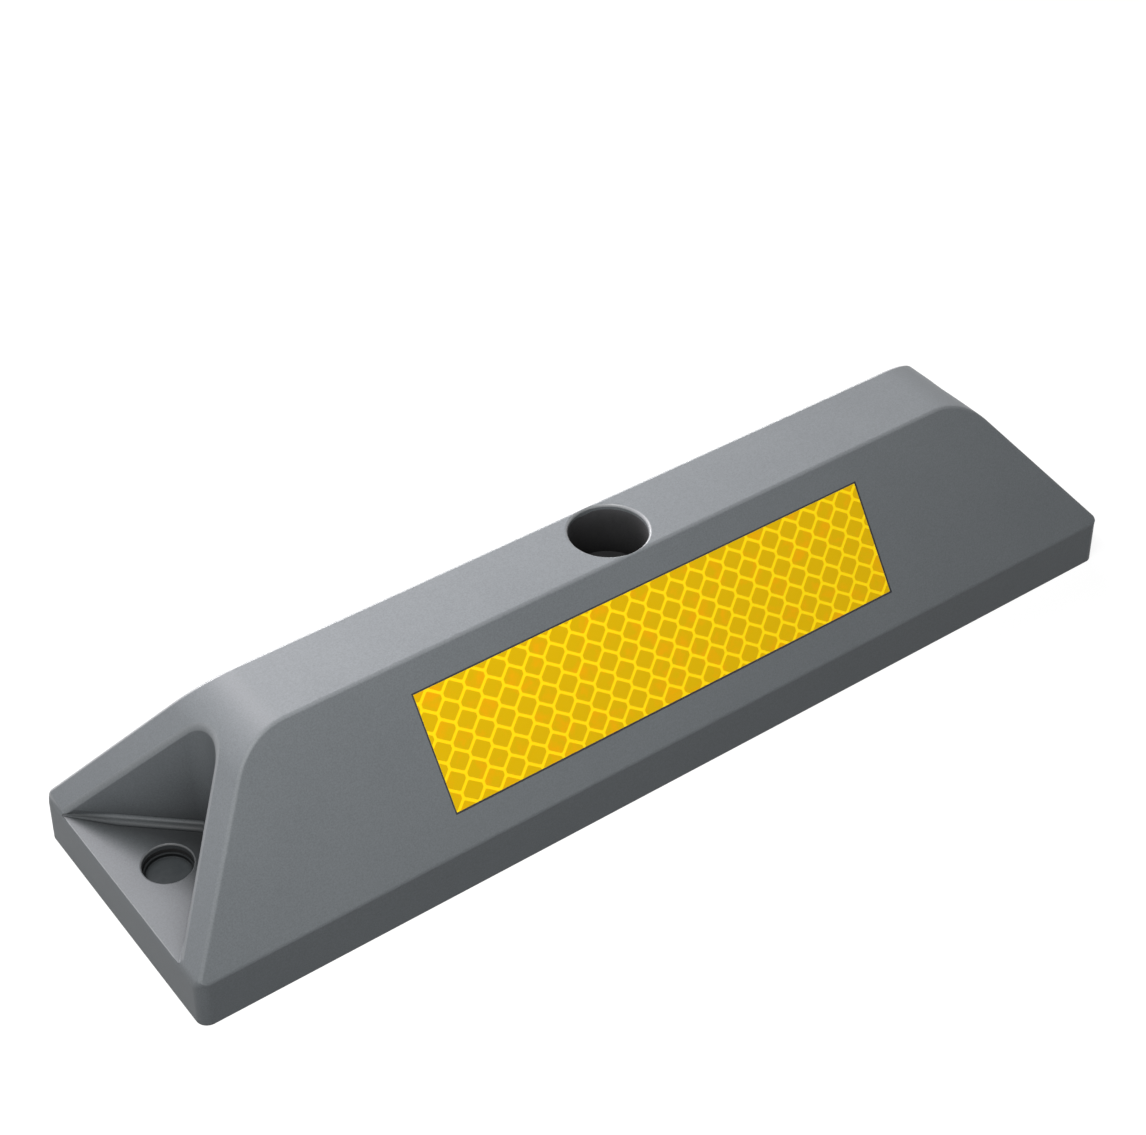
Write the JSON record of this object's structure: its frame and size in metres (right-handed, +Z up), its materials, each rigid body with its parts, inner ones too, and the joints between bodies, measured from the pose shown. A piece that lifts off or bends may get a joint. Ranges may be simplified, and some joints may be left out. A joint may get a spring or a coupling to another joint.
{
  "type": "parking block",
  "caption": "Long low parking block with sloping sides, ramped ends with anchor recesses, a reflective sheet on the front slope and a cored underside.",
  "frame": {"origin": "centre of the base on the ground", "axes": "+X along the block, -Y to the front slope with the reflective sheet, +Z up"},
  "size_m": [0.56, 0.15, 0.104],
  "materials": {
    "core": "matt moulded rubber with a fine grain",
    "skin": "satin grey moulded skin with a fine grain",
    "backing": "dark adhesive film",
    "sheet": "glossy yellow prismatic sheet with a lattice of seal lines",
    "cap": "satin moulded plastic"
  },
  "bodies": {
    "block": {"core": "core", "outer_skin": "skin", "sheet_backing": "backing", "reflective_sheet": "sheet"},
    "left_cap": {"left_bolt_cap": "cap"},
    "right_cap": {"right_bolt_cap": "cap"}
  },
  "joints": [
    {"name": "left_cap_lift", "type": "slide", "parent": "block", "child": "left_cap", "axis": [0, 0, 1], "range_m": [0, 0.06]},
    {"name": "right_cap_lift", "type": "slide", "parent": "block", "child": "right_cap", "axis": [0, 0, 1], "range_m": [0, 0.06]}
  ]
}
